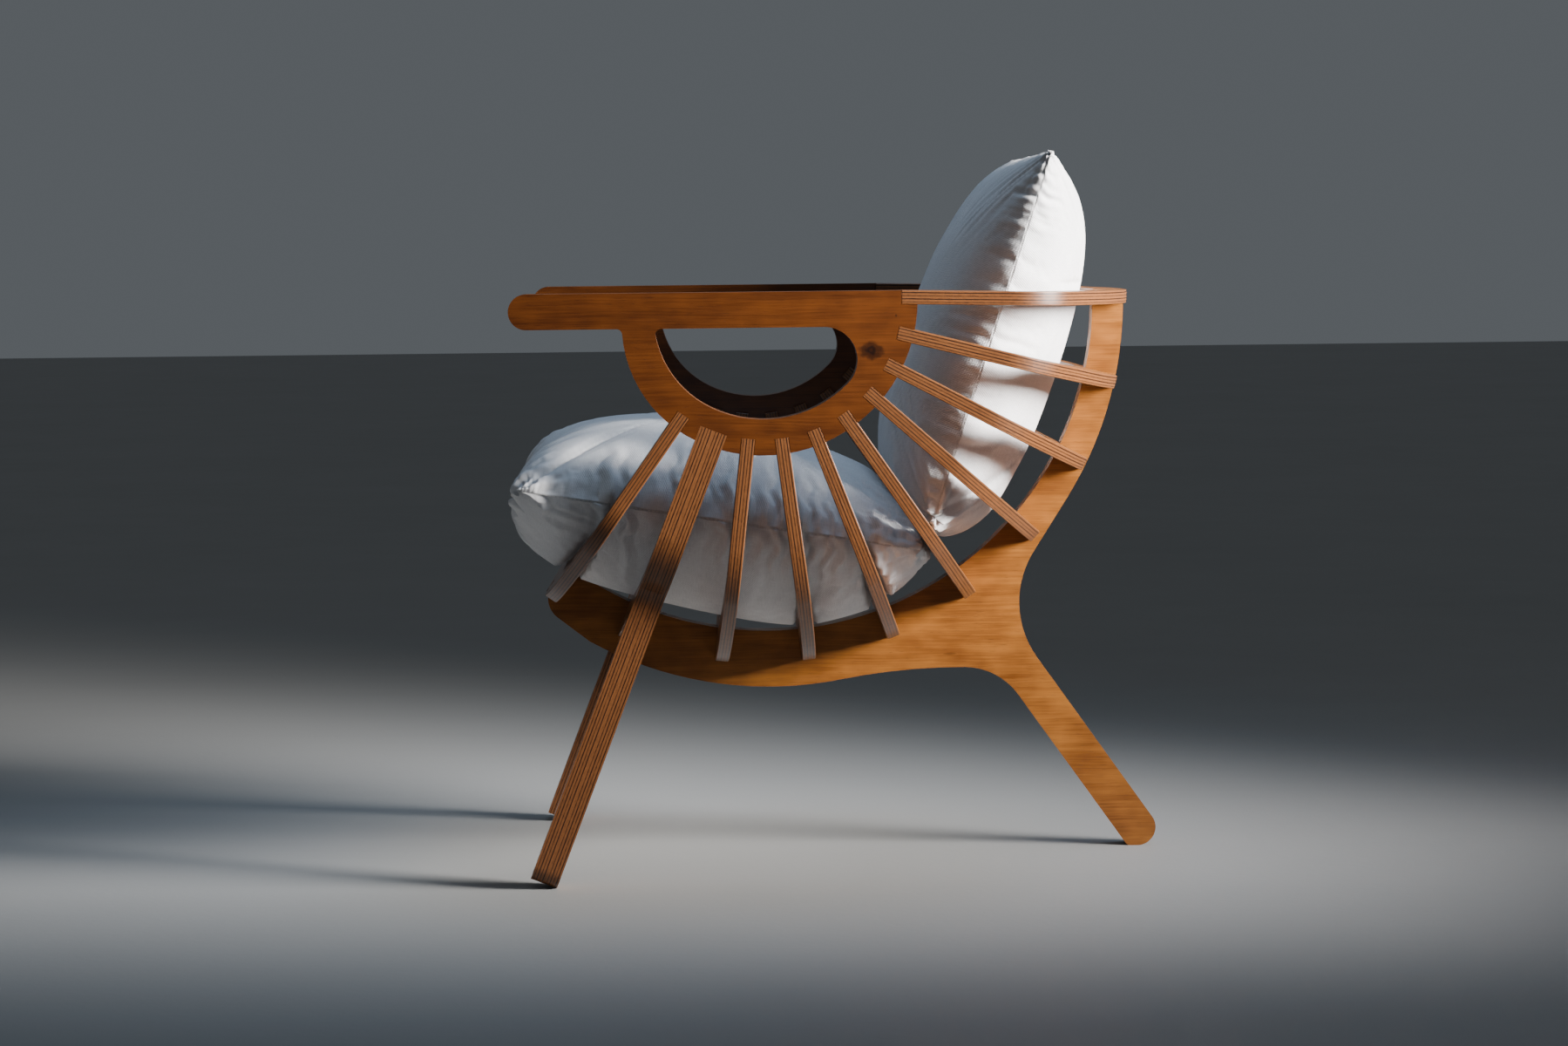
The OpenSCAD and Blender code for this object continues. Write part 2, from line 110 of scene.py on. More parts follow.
class Flow:
    """A number, vector or colour that runs through a finish."""

    __add__, __radd__ = operator("ADD"), operator("ADD", turned=True)
    __sub__, __rsub__ = operator("SUBTRACT"), operator("SUBTRACT", turned=True)
    __mul__, __rmul__ = operator("MULTIPLY"), operator("MULTIPLY", turned=True)
    __gt__, __lt__ = operator("GREATER_THAN"), operator("LESS_THAN")

    def __init__(self, finish, socket):
        self.finish = finish
        self.socket = socket

    def sum(self, operation, *parts):
        vector = any(isinstance(p, tuple) or (isinstance(p, Flow) and p.is_vector) for p in parts)
        kind = "ShaderNodeVectorMath" if vector else "ShaderNodeMath"
        return self.finish.add(kind, {"operation": operation}, dict(enumerate(parts)))

    @property
    def is_vector(self):
        return self.socket.type in ("VECTOR", "RGBA")

    def maths(self, operation, *others):
        return self.sum(operation, self, *others)

    def parts(self):
        node = self.finish.add("ShaderNodeSeparateXYZ", {}, {"Vector": self}).socket.node
        return [Flow(self.finish, socket) for socket in node.outputs]

    def smooth(self, low, high):
        """0 below low, 1 above high and a soft step between."""
        settings = {"interpolation_type": "SMOOTHSTEP"}
        inputs = {"Value": self, "From Min": low, "From Max": high}
        return self.finish.add("ShaderNodeMapRange", settings, inputs)


print("sockets can be added, subtracted, multiplied and compared")

# %% [markdown]
# ## A finish and its one way to add a node
# A finish is a material whose surface is fed by wrapped sockets. Every node comes from one
# method, which takes its type, its settings and the values or links of its sockets. The Mix
# node has other sockets for numbers and vectors, so its colour ones are told by their place.

# %% A finish
MIX_FACTOR, MIX_LOW, MIX_HIGH = 0, 6, 7


class Finish:
    """A material and the one method that adds a node to it."""

    def __init__(self, name):
        self.material = bpy.data.materials.new(name)
        self.material.use_nodes = True
        self.tree = self.material.node_tree
        self.surface = self.tree.nodes["Principled BSDF"]

    def add(self, kind, settings, inputs, out=None):
        """Adds one node, sets it, feeds its sockets and hands on its output."""
        node = self.tree.nodes.new(kind)
        for key, value in settings.items():
            setattr(node, key, value)
        for key, value in inputs.items():
            self.feed(node.inputs[key], value)
        shown = [socket for socket in node.outputs if socket.enabled]
        return Flow(self, node.outputs[out] if out else shown[0])

    def feed(self, socket, value):
        if isinstance(value, Flow):
            self.tree.links.new(value.socket, socket)
        elif isinstance(value, tuple) and socket.type == "RGBA" and len(value) == 3:
            socket.default_value = (*value, 1)
        elif socket.type == "VECTOR" and not isinstance(value, tuple):
            socket.default_value = (value,) * 3
        else:
            socket.default_value = value

    def mix(self, factor, low, high):
        """A colour between low and high."""
        inputs = {MIX_FACTOR: factor, MIX_LOW: low, MIX_HIGH: high}
        return self.add("ShaderNodeMix", {"data_type": "RGBA"}, inputs)

    def noise(self, place, scale, detail=2.0, rough=0.5):
        inputs = {"Vector": place, "Scale": scale, "Detail": detail, "Roughness": rough}
        return self.add("ShaderNodeTexNoise", {}, inputs)

    def attribute(self, name, out="Fac"):
        return self.add("ShaderNodeAttribute", {"attribute_name": name}, {}, out)

    def dress(self, colour, rough, height, depth, **constants):
        """Joins the flows to the surface, and sets its constant values."""
        inputs = {"Height": height, "Distance": depth, "Strength": 1.0}
        self.feed(self.surface.inputs["Base Color"], colour)
        self.feed(self.surface.inputs["Roughness"], rough)
        self.feed(self.surface.inputs["Normal"], self.add("ShaderNodeBump", {}, inputs))
        for key, value in constants.items():
            self.surface.inputs[key.replace("_", " ")].default_value = value
        return self.material


print("finishes are ready to be mixed")

# %% [markdown]
# ## Where each board lies
# Every board of the chair is one sheet of birch plywood, 15 mm thick. To draw its layers, the
# finish has to know for each point how far it is through the sheet, and how far along and
# across the grain. The arms and the spine stand upright along the chair. The ribs turn about
# the hub line that runs through both arms, so one turn in degrees gives a rib's plane.
# Each board is kept as its middle, the direction square to it and the direction of its grain.

# %% Planes of the boards
PLY = 0.015
HUB = Vector((0, -0.0838, 0.637))
HALF_W = 0.33
RIBS, FIRST_TURN, RIB_TURN = 7, 14.1, 13.72
LEG_TURN, FRONT_TURN = 111.1, 125.2
RAIL_TURN, RAIL_LIFT = 1.2, 0.0048
TO_LEFT, TO_REAR = Vector((1, 0, 0)), Vector((0, 1, 0))

boards = {}
for side, sign in (("left", 1), ("right", -1)):
    for layer, depth in (("outer", 0.5), ("inner", 1.5)):
        middle = Vector((sign * (HALF_W - depth * PLY), HUB.y, HUB.z))
        boards[f"{side}_arm_{layer}"] = (middle, TO_LEFT, TO_REAR)
    middle = Vector((sign * PLY / 2, HUB.y, HUB.z))
    boards[f"spine_{side}"] = (middle, TO_LEFT, TO_REAR)


def rib_plane(degrees, shift=0.0):
    """The plane of a rib turned about the hub line, and shifted square to itself."""
    angle = math.radians(degrees)
    square = Vector((0, math.sin(angle), math.cos(angle)))
    return HUB + shift * square, square, TO_LEFT


for number in range(RIBS):
    boards[f"rib_{number + 1}"] = rib_plane(FIRST_TURN + number * RIB_TURN)
boards["leg_rib_rear"] = rib_plane(LEG_TURN, PLY / 2)
boards["leg_rib_front"] = rib_plane(LEG_TURN, -PLY / 2)
boards["front_rib"] = rib_plane(FRONT_TURN)
boards["top_rail"] = rib_plane(RAIL_TURN, RAIL_LIFT)
print("boards:", len(boards))

# %% [markdown]
# ## Boards with softened edges
# A router leaves a plywood edge sharp, and the maker sands it round by about a millimetre. That
# thin rounding is what catches the light along every edge of this chair. A Bevel modifier can't
# be used, because a frame solid comes in as loose triangles, so each board is copied, welded,
# cleared of its inner triangle lines and bevelled. Edges that lie against a neighbouring board
# stay sharp: a ray that starts half a millimetre off the face and leaves a board from inside
# has found the neighbour.

# %% Copy and round a board
ROUNDING, ROUND_STEPS = 0.0013, 3
SHARP, FLAT = math.radians(28), math.radians(0.4)
WELD, SHORTEST = 2e-5, 0.0004
PROBE_IN, PROBE_OFF, PROBE_REACH = 0.0012, 0.0005, 0.1


def welded(node):
    """The solid of a node with its triangles joined into flat faces."""
    shape = bmesh.new()
    shape.from_mesh(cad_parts[node].data)
    bmesh.ops.remove_doubles(shape, verts=shape.verts, dist=WELD)
    bmesh.ops.dissolve_limit(shape, angle_limit=FLAT, verts=shape.verts, edges=shape.edges)
    return shape


def world_tree():
    """One tree of all the boards, to look up what a ray meets."""
    corners, faces = [], []
    for node in boards:
        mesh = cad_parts[node].data
        start = len(corners)
        corners += [vertex.co.copy() for vertex in mesh.vertices]
        faces += [[start + index for index in face.vertices] for face in mesh.polygons]
    return BVHTree.FromPolygons(corners, faces)


neighbours = world_tree()


def touches(edge, face):
    """True if another board lies against face beside edge."""
    middle = (edge.verts[0].co + edge.verts[1].co) / 2
    run = (edge.verts[1].co - edge.verts[0].co).normalized()
    inward = run.cross(face.normal)
    if inward.dot(face.calc_center_median() - middle) < 0:
        inward = -inward
    start = middle + PROBE_IN * inward + PROBE_OFF * face.normal
    _, met, _, _ = neighbours.ray_cast(start, face.normal, PROBE_REACH)
    return met is not None and met.dot(face.normal) > 0


def soften(shape):
    """Rounds the free sharp edges of a board and counts them."""
    edges = []
    for edge in shape.edges:
        cut = len(edge.link_faces) == 2 and edge.is_convex and edge.calc_face_angle(0) > SHARP
        if cut and edge.calc_length() > SHORTEST:
            if not any(touches(edge, face) for face in edge.link_faces):
                edges.append(edge)
    bmesh.ops.bevel(
        shape, geom=edges, offset=ROUNDING, segments=ROUND_STEPS, profile=0.5,
        affect="EDGES", clamp_overlap=True,
    )
    return len(edges)


print("tree of the boards ready, rounding %.1f mm" % (1000 * ROUNDING))

# %% [markdown]
# ## The board pieces
# The finish reads two things from the copy: the vector **board** with the place along, across
# and through the sheet, and the number **rim**, which is 1 on a cut edge and 0 on a face. Every
# board is cut from another part of the veneer, so its place is moved on by its number.

# %% Make the board pieces
NEXT_BOARD = (1.7, 0.9)
RIM_POWER = 8


def note(mesh, name, domain, values):
    """Writes a number or a vector on each point or face, for a finish to read."""
    kind, field = ("FLOAT", "value") if values.ndim == 1 else ("FLOAT_VECTOR", "vector")
    data = mesh.attributes.new(name, kind, domain).data
    data.foreach_set(field, values.astype(np.float32).ravel())


def place_on(node, mesh, seed):
    """Writes the place in the sheet on the points, and the rim on the faces."""
    middle, square, along = boards[node]
    corners = np.empty(len(mesh.vertices) * 3)
    mesh.vertices.foreach_get("co", corners)
    offset = corners.reshape(-1, 3) - np.array(middle)
    sideways = np.cross(square, along)
    place = np.column_stack([
        offset @ np.array(along) + NEXT_BOARD[0] * seed,
        offset @ sideways + NEXT_BOARD[1] * seed,
        offset @ np.array(square) / PLY,
    ])
    note(mesh, "board", "POINT", place)
    rim = [1 - abs(face.normal.dot(square)) ** RIM_POWER for face in mesh.polygons]
    note(mesh, "rim", "FACE", np.array(rim))


def make_board(node, seed):
    """A rounded copy of a board that rides on the frame in its place."""
    shape = welded(node)
    count = soften(shape)
    for face in shape.faces:
        face.smooth = True
    for edge in shape.edges:
        edge.smooth = edge.calc_face_angle(0) < SHARP
    mesh = bpy.data.meshes.new(node + "_board")
    shape.to_mesh(mesh)
    shape.free()
    place_on(node, mesh, seed)
    board = show(node + "_board", mesh)
    weigh = board.modifiers.new("flat faces stay flat", "WEIGHTED_NORMAL")
    weigh.keep_sharp = True
    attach(board, "frame")
    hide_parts(node)
    return board, count


pieces = {}
for seed, node in enumerate(boards):
    pieces[node], rounded = make_board(node, seed)
    print("board", node, "rounded edges", rounded, "faces", len(pieces[node].data.polygons))

# %% [markdown]
# ## The cut edge of birch plywood
# The sheet has nine plies. Their grain runs by turns along and across, so on a cut edge every
# second ply shows end grain, which drinks more stain and goes dark, two of them more than the
# rest. The dark lines are thinner than the light ones, and broken into flecks.

# %% Plies on a cut edge
PLIES = 9
# Every noise runs from 0 to 1 about this middle.
MIDDLE = 0.5
WAVER, WAVER_SCALE = 0.4, (11.0, 11.0, 0.0)
FLECK_SCALE, PATCH_SCALE, PLY_SHIFT = 210.0, 42.0, 0.37


def cut_edge(wood, board, deep, fair):
    """The colour of a cut edge, and the flecks that also roughen it."""
    along, sideways, through = board.parts()
    wander = wood.noise(board * WAVER_SCALE, 1.0, 2.0) - MIDDLE
    depth = (through + MIDDLE) * PLIES + WAVER * wander
    ply = depth.maths("FLOOR").maths("MAXIMUM", 0.0).maths("MINIMUM", PLIES - 1.0)
    inside = (depth.maths("FRACT") - MIDDLE).maths("ABSOLUTE")
    place = wood.add("ShaderNodeCombineXYZ", {}, {0: along, 1: sideways, 2: ply * PLY_SHIFT})
    fleck = wood.noise(place, FLECK_SCALE, 3.0, 0.6)
    patch = wood.noise(place, PATCH_SCALE, 2.0)
    main = ply.maths("MODULO", 4.0) > 2.5
    band = ply.maths("MODULO", 2.0) * (1 - inside.smooth(0.10, 0.52)) * (0.55 + 0.45 * main)
    dark = band * (0.55 + 0.9 * patch) + (MIDDLE - fleck) * 0.8
    tone = 0.80 - 0.92 * dark + (patch - MIDDLE) * 0.5
    return wood.mix(tone.smooth(0.0, 1.0), deep, fair), fleck


print("plies: %d of %.2f mm" % (PLIES, 1000 * PLY / PLIES))

# %% [markdown]
# ## The veneer on the faces
# A face shows one veneer with fine streaks along the grain, cloudy patches where the stain took
# unevenly, and short dark pores. Each is a noise stretched along the grain by the **board**
# vector, so the figure runs with the board however it is turned.

# %% Figure of the veneer
# Waves to the metre along the grain, across it and through the sheet
GRAIN, STREAK, PORE = (14.0, 520.0, 0.0), (2.4, 90.0, 0.0), (70.0, 1100.0, 0.0)
CLOUD, BLOTCH, BEND = (7.0, 11.0, 0.0), (28.0, 44.0, 0.0), (4.0, 14.0, 0.0)
BEND_WIDTH = 0.012
BURNT = 0.22


def burnt(deep):
    """The darkest brown of a wood, in its pores and knots."""
    return tuple(BURNT * part for part in deep)


def veneer(wood, board, deep, fair, cloud):
    """The colour of a face, and the grain and pores that also roughen it."""
    warp = (wood.noise(board * BEND, 1.0, 2.0) - MIDDLE) * (0.0, BEND_WIDTH, 0.0)
    bent = board + warp
    grain = wood.noise(bent * GRAIN, 1.0, 4.0, 0.6)
    streak = wood.noise(bent * STREAK, 1.0, 3.0, 0.55)
    cloudy = wood.noise(board * CLOUD, 1.0, 3.0, 0.55)
    blotch = wood.noise(board * BLOTCH, 1.0, 2.0)
    pores = wood.noise(board * PORE, 1.0, 1.0).smooth(0.64, 0.76)
    figure = 0.5 + (grain - MIDDLE) * 0.8 + (streak - MIDDLE) * 0.55 + (cloudy - MIDDLE) * cloud
    figure = figure + (blotch - MIDDLE) * 0.45
    colour = wood.mix(figure.smooth(0.0, 1.0), deep, fair)
    return wood.mix(pores * 0.4, colour, burnt(deep)), grain, pores


print("grain lines to the metre:", GRAIN[1])

# %% [markdown]
# ## Knots and scars
# A few marks are on one board only, such as the knot in the near arm. Each is a ragged oval at
# a measured place, which is turned into the board vector of its own board.

# %% Marks on single boards
ORDER = list(boards)
RAGGED, RAGGED_SCALE = 0.8, 160.0
RING_SCALE, RING, RING_MEAN = 9.0, 0.14, 0.86
# Board, rearward and upward place, half length and half height, strength
ARM_MARKS = (
    ("left_arm_outer", 0.0317, 0.5826, (0.0140, 0.0110), 1.0),
    ("left_arm_outer", 0.0580, 0.6194, (0.0016, 0.0020), 0.9),
    ("left_arm_outer", 0.0785, 0.6330, (0.0030, 0.0014), 0.6),
)
SPINE_MARKS = (
    ("spine_left", 0.1320, 0.2245, (0.0090, 0.0016), 0.5),
    ("spine_left", 0.1130, 0.2850, (0.0220, 0.0012), 0.25),
)


def marked(wood, board, colour, marks, dark):
    """Lays ragged ovals with faint rings over the colour of a face."""
    for node, y, z, size, strength in marks:
        seed = ORDER.index(node)
        along, up = y - HUB.y + NEXT_BOARD[0] * seed, z - HUB.z + NEXT_BOARD[1] * seed
        way = (board - (along, up, 0.0)) * (1 / size[0], 1 / size[1], 0.0)
        rough = (wood.noise(board * (1.0, 1.0, 0.0), RAGGED_SCALE, 2.0) - MIDDLE) * RAGGED
        reach = way.maths("LENGTH") + rough
        mask = 1 - reach.smooth(0.55, 1.05)
        ring = (reach * RING_SCALE).maths("SINE") * RING + RING_MEAN
        colour = wood.mix(mask * strength * ring, colour, dark)
    return colour


print("marks:", len(ARM_MARKS), "on the near arm,", len(SPINE_MARKS), "on the spine")

# %% [markdown]
# ## Three woods with a warm brown stain
# The boards come from sheets that took the stain differently, and the spine is the most
# cloudy. The arms are the darkest, partly from their stain and partly as painted shade: the
# arms and the ribs are darkened for the shade they lie in. A thin satin lacquer lies over all of
# them.

# %% Plywood finish
RIDGE_DEPTH = 0.0002


def plywood(name, face, edge, cloud=1.0, marks=()):
    """A stained plywood. Face and edge are each a deep and a fair colour."""
    wood = Finish(name)
    board = wood.attribute("board", "Vector")
    rim = wood.attribute("rim")
    edge_colour, fleck = cut_edge(wood, board, *edge)
    face_colour, grain, pores = veneer(wood, board, *face, cloud)
    face_colour = marked(wood, board, face_colour, marks, burnt(face[0]))
    colour = wood.mix(rim, face_colour, edge_colour)
    rough = 0.33 + 0.12 * (grain - MIDDLE) + 0.05 * rim
    ridges = (0.5 * grain - 0.3 * pores) * (1 - rim) + 0.7 * fleck * rim
    return wood.dress(colour, rough, ridges, RIDGE_DEPTH, Coat_Weight=0.1,
                      Coat_Roughness=0.25, Specular_IOR_Level=0.35)


# The arm and rib colours are darker than their stain alone: painted shade for the shade that falls
# on those boards.
woods = {
    "arm": plywood(
        "arm_plywood", ((0.036, 0.0082, 0.0010), (0.120, 0.034, 0.0048)),
        ((0.030, 0.009, 0.003), (0.16, 0.055, 0.015)), 0.5, ARM_MARKS,
    ),
    "spine": plywood(
        "spine_plywood", ((0.100, 0.029, 0.0038), (0.29, 0.108, 0.019)),
        ((0.05, 0.017, 0.004), (0.26, 0.105, 0.033)), 0.9, SPINE_MARKS,
    ),
    "rib": plywood(
        "rib_plywood", ((0.09, 0.027, 0.005), (0.24, 0.090, 0.022)),
        ((0.016, 0.005, 0.002), (0.165, 0.060, 0.018)),
    ),
}
for node, piece in pieces.items():
    kind = next((kind for kind in ("arm", "spine") if kind in node), "rib")
    piece.data.materials.append(woods[kind])
print("plywood on", len(pieces), "boards")

# %% [markdown]
# ## The bowl that the cushions lie in
# The inner edges of the ribs draw one bowl about the hub line: straight at the sides, round at
# the corners and gently bowed below. A cushion may not enter the ribs, but soft filling sinks
# between them until it meets the spine, so the room it has grows from each rib to the next.

# %% Room inside the ribs
RIB_IN, RIB_REACH, BOW_R = 0.37, 0.419, 0.54
CORNER_R, IN_CORNER_R, SIDE_W = 0.075, 0.045, 0.037
SPINE_C, SPINE_R, SPINE_CLEAR = np.array([0.00771, -0.00972]), 0.3736, 0.0012
SINK, EAR_SINK = 0.016, 0.022
SLACK, SLACK_FROM, SLACK_POWER = 0.010, 0.001, 2.2
bow_c = RIB_REACH - BOW_R
corner_y = bow_c + math.sqrt((BOW_R - CORNER_R) ** 2 - (HALF_W - CORNER_R) ** 2)
in_corner_x = HALF_W - SIDE_W - IN_CORNER_R
tip = RIB_IN - IN_CORNER_R
in_bow_c = (in_corner_x**2 + corner_y**2 - tip**2) / (2 * (corner_y - tip))
turns = [FIRST_TURN + n * RIB_TURN for n in range(RIBS)] + [LEG_TURN, FRONT_TURN]


def direction(degrees):
    """Rearward and upward parts of a direction, from its turn below level."""
    return np.array([math.cos(math.radians(degrees)), -math.sin(math.radians(degrees))])


def slack(gap):
    """The share of its free depth that cloth reaches this far from the face of a rib."""
    return 1 - (1 - np.clip((gap - SLACK_FROM) / SLACK, 0, 1)) ** SLACK_POWER


def sink(turn, x):
    """How deep a cushion may sink: nothing on a rib, and down to the spine on the middle line."""
    gap = np.full_like(turn, 1.0)
    for rib in turns:
        half = PLY if rib == LEG_TURN else PLY / 2
        gap = np.minimum(gap, np.abs(np.radians(turn - rib)) * RIB_IN - half)
    to_spine = SPINE_R - RIB_IN - SPINE_CLEAR + np.cos(np.radians(turn)) * SPINE_C[0]
    to_spine = to_spine - np.sin(np.radians(turn)) * SPINE_C[1]
    deepest = SINK + (EAR_SINK - SINK) * np.clip((x - in_corner_x) / IN_CORNER_R * 2, 0, 1)
    deepest = np.where(x < 2 * PLY, np.minimum(to_spine, SINK), deepest)
    between = (turn > FIRST_TURN) & (turn < FRONT_TURN)
    return np.where(between, slack(gap) * deepest, 0)


print("bowl: sides at %.3f m, corner at %.3f m" % (HALF_W - SIDE_W, corner_y))

# %% [markdown]
# ## Keep a cushion in the bowl
# Each point of a cushion is looked at from the hub line, by its turn and its distance. Beyond
# the straight side, the round corner or the bow it is drawn back to there, plus the sink that
# its turn allows. In front of the last rib the bowl runs on straight, and above the top rail
# nothing holds the back cushion.

# %% Push points into the bowl
TINY = 1e-12


def in_bowl(points, clear):
    """Pushes points, given from the hub line, back inside the ribs."""
    out, fore = direction(FRONT_TURN), direction(FRONT_TURN + 90)
    yz, x = points[:, 1:], np.abs(points[:, 0])
    ahead = yz @ fore
    past = (ahead > 0) & (yz @ out > 0)
    radius = np.where(past, yz @ out, np.linalg.norm(yz, axis=1))
    turn = np.degrees(np.arctan2(-yz[:, 1], yz[:, 0])) % 360
    give = np.where(past, SINK * slack(ahead - PLY / 2), sink(turn, x)) - clear
    corner = x * (corner_y - in_bow_c) > in_corner_x * (radius - in_bow_c)
    middle_x = np.where(corner, in_corner_x, 0.0)
    middle_r = np.where(corner, corner_y, in_bow_c)
    limit = np.where(corner, IN_CORNER_R, RIB_IN - in_bow_c) + give
    pull = np.minimum(1, limit / np.maximum(np.hypot(x - middle_x, radius - middle_r), TINY))
    low = radius <= corner_y
    new_x = np.where(low, np.minimum(x, HALF_W - SIDE_W - clear), middle_x + (x - middle_x) * pull)
    new_r = np.where(low, radius, middle_r + (radius - middle_r) * pull)
    outward = np.where(past[:, None], out, yz / np.maximum(radius, TINY)[:, None])
    moved_yz = yz + (new_r - radius)[:, None] * outward
    moved = np.column_stack([np.sign(points[:, 0]) * new_x, moved_yz])
    above = (points[:, 2] > PLY) & (points[:, 1] > 0)
    return np.where(above[:, None], points, moved)


print("ribs that hold the cushions:", len(turns))

# %% [markdown]
# ## The form of a pillow
# Both cushions are loose pillows: two cloth panels sewn round the edge and stuffed. A stuffed
# pillow is fullest in the middle, its sides draw in between four pointed ears, and it is flat
# only where something presses on it. The foot of a cushion is given from the hub line, with
# its slope in degrees. A panel has a crown height, a lean toward the foot, a fullness of its
# ends and a pinch at the far end. Wrap bends the sides up along the bowl.

# %% Measures of the two cushions
EAR, EAR_SIZE = -0.0015, 0.022
WAIST, SIDE_POWER, EAR_FLAT, PINCH_POWER = 0.006, 2.6, 0.25, 6
SEAT = dict(
    foot=(-0.2680, -0.2370), slope=-7.0, long=0.447, wide=0.566, side=-1,
    swell=(0.000, 0.003), wrap=(0.034, 0.020), ears=(0.5, 0.5, 1.4, 2.2),
    upper=(0.113, 0.35, 0.33, 0.0), lower=(0.095, -0.36, 0.32, 0.45),
    creases=dict(seed=500, height=0.0135, length=0.052, period=0.019),
)
BACK = dict(
    foot=(0.2109, -0.2440), slope=75.3, long=0.4092, wide=0.560, side=1,
    swell=(0.025, -0.002), wrap=(0.028, 0.003), ears=(1.2, 3.2, 0.6, 0.6),
    upper=(0.088, 0.42, 0.32, 0.15), lower=(0.083, -0.35, 0.33, 0.15),
    creases=dict(seed=800, height=0.0042, length=0.036, period=0.015),
)
FORMS = {"seat": SEAT, "back": BACK}


def pillow_side(form, up, s, u):
    """Points of one panel from the hub line; s runs along the cushion, u across it."""
    v = 2 * u - 1
    room = 4 * s * (1 - s)
    to_end = np.minimum(s, 1 - s) * form["long"]
    to_side = (1 - np.abs(v)) * form["wide"] / 2
    half = form["wide"] / 2 - WAIST * room - EAR * (1 - np.exp(-((to_end / EAR_SIZE) ** 2)))
    drawn = EAR * (1 - np.exp(-((to_side / EAR_SIZE) ** 2)))
    start = drawn - form["swell"][0] * (1 - v * v)
    end = form["long"] - drawn + form["swell"][1] * (1 - v * v)
    along = start + s * (end - start)
    crown, lean, fullness, pinch = form["upper"] if up > 0 else form["lower"]
    puff = room ** (fullness + pinch * s**PINCH_POWER) * (1 + lean * (0.5 - s))
    puff = puff * (1 - np.abs(v) ** SIDE_POWER) ** 0.5
    puff = puff * (1 - EAR_FLAT * np.exp(-((np.hypot(to_end, to_side) / EAR_SIZE) ** 2)))
    wrap = form["wrap"][0] + (form["wrap"][1] - form["wrap"][0]) * s
    height = up * crown * puff + wrap * v * v
    run = direction(-form["slope"])
    lift = np.array([-run[1], run[0]])
    yz = np.array(form["foot"]) + along[:, None] * run + height[:, None] * lift
    return np.column_stack([half * v, yz])


for label, form in FORMS.items():
    print(label, "cushion:", form["long"], "by", form["wide"], "m at", form["slope"], "degrees")

# %% [markdown]
# ## Where the cushions meet
# The two pillows press on each other and are flat there. The plane between them is given by a
# point and a turn, and each cushion keeps to its own side. To settle a cushion, its points are
# kept in the bowl first and then off the other cushion.

# %% Keep the cushions apart
PRESS_POINT, PRESS_TURN = np.array([0.16, -0.236]), math.radians(37.2)
CLEAR, SEWN_CLEAR = 0.0006, 0.0004


def pressed(points, side, clear):
    """Keeps points on their side of the plane where the two cushions meet."""
    square = np.array([math.cos(PRESS_TURN), math.sin(PRESS_TURN)])
    depth = side * ((points[:, 1:] - PRESS_POINT) @ square)
    push = np.maximum(clear - depth, 0) * side
    return points + np.column_stack([np.zeros(len(points)), push[:, None] * square])


def settle(points, form, clear=CLEAR):
    """Points of a cushion as the bowl and the other cushion let them lie."""
    return pressed(in_bowl(points, clear), form["side"], clear)


print("cushions meet at a plane turned %.1f degrees" % math.degrees(PRESS_TURN))

# %% [markdown]
# ## Two panels, one seam
# A grid over each panel keeps the seam as one line of edges, so the stitches, the puckers and
# the weave can follow it. Both panels share the points of the seam. The rows are spaced by the
# length of cloth between them, or they would crowd at the seam. The cells are a little over
# 2 mm wide, fine enough for sharp folds, and every third line of the grid makes the coarse
# cloth to simulate.

# %% A grid of cloth
COARSE, FINER = (88), 3
CELLS = COARSE * FINER
PUFF, PUFF_POWER, PROFILE_STEPS = 0.11, 0.33, 4001


def even(height, length, power):
    """Places from 0 to 1 that part a puffed profile into equal lengths of cloth."""
    fine = (1 - np.cos(np.linspace(0, math.pi, PROFILE_STEPS))) / 2
    rise = height * power(fine)
    cloth = np.concatenate([[0], np.cumsum(np.hypot(np.diff(fine * length), np.diff(rise)))])
    return np.interp(np.linspace(0, cloth[-1], CELLS + 1), cloth, fine), cloth[-1]


def panel_numbers(count):
    """Point numbers of the upper and the lower panel, which share the points of the seam."""
    upper = np.arange(count * count).reshape(count, count)
    lower = upper.copy()
    lower[1:-1, 1:-1] = count * count + np.arange((count - 2) ** 2).reshape(count - 2, count - 2)
    return upper, lower


def panel_faces(count):
    """The four-sided faces of both panels, all facing out."""
    faces = []
    for number, turned in zip(panel_numbers(count), (True, False)):
        ring = [number[:-1, :-1], number[1:, :-1], number[1:, 1:], number[:-1, 1:]]
        square = np.stack([part.ravel() for part in ring], axis=1)
        faces.append(square[:, ::-1] if turned else square)
    return np.vstack(faces)


def join_panels(upper, lower):
    """One list of points from two square grids, the seam taken from the upper one."""
    return np.vstack([upper.reshape(-1, upper.shape[-1]),
                      lower[1:-1, 1:-1].reshape(-1, lower.shape[-1])])


def split_panels(points):
    """The two square grids that a list of points was joined from."""
    count = 1 + math.isqrt(len(points) // 2 - 1)
    return [points[number] for number in panel_numbers(count)]


for label, form in FORMS.items():
    s_row, s_cloth = even(PUFF, form["long"], lambda t: (4 * t * (1 - t)) ** PUFF_POWER)
    u_row, u_cloth = even(
        PUFF, form["wide"], lambda t: (1 - np.abs(2 * t - 1) ** SIDE_POWER) ** 0.5
    )
    s, u = (part.ravel() for part in np.meshgrid(s_row, u_row, indexing="ij"))
    square = (CELLS + 1, CELLS + 1, 3)
    sides = [pillow_side(form, up, s, u).reshape(square) for up in (1, -1)]
    form["points"] = join_panels(*sides)
    share = np.linspace(0, 1, CELLS + 1)
    ss, uu = np.meshgrid(share * s_cloth, share * u_cloth, indexing="ij")
    form["flat"] = join_panels(*[np.dstack([uu, ss, np.full_like(ss, up)]) for up in (1, -1)])
    print(label, "panels of %.3f by %.3f m, points %d" % (u_cloth, s_cloth, len(form["flat"])))

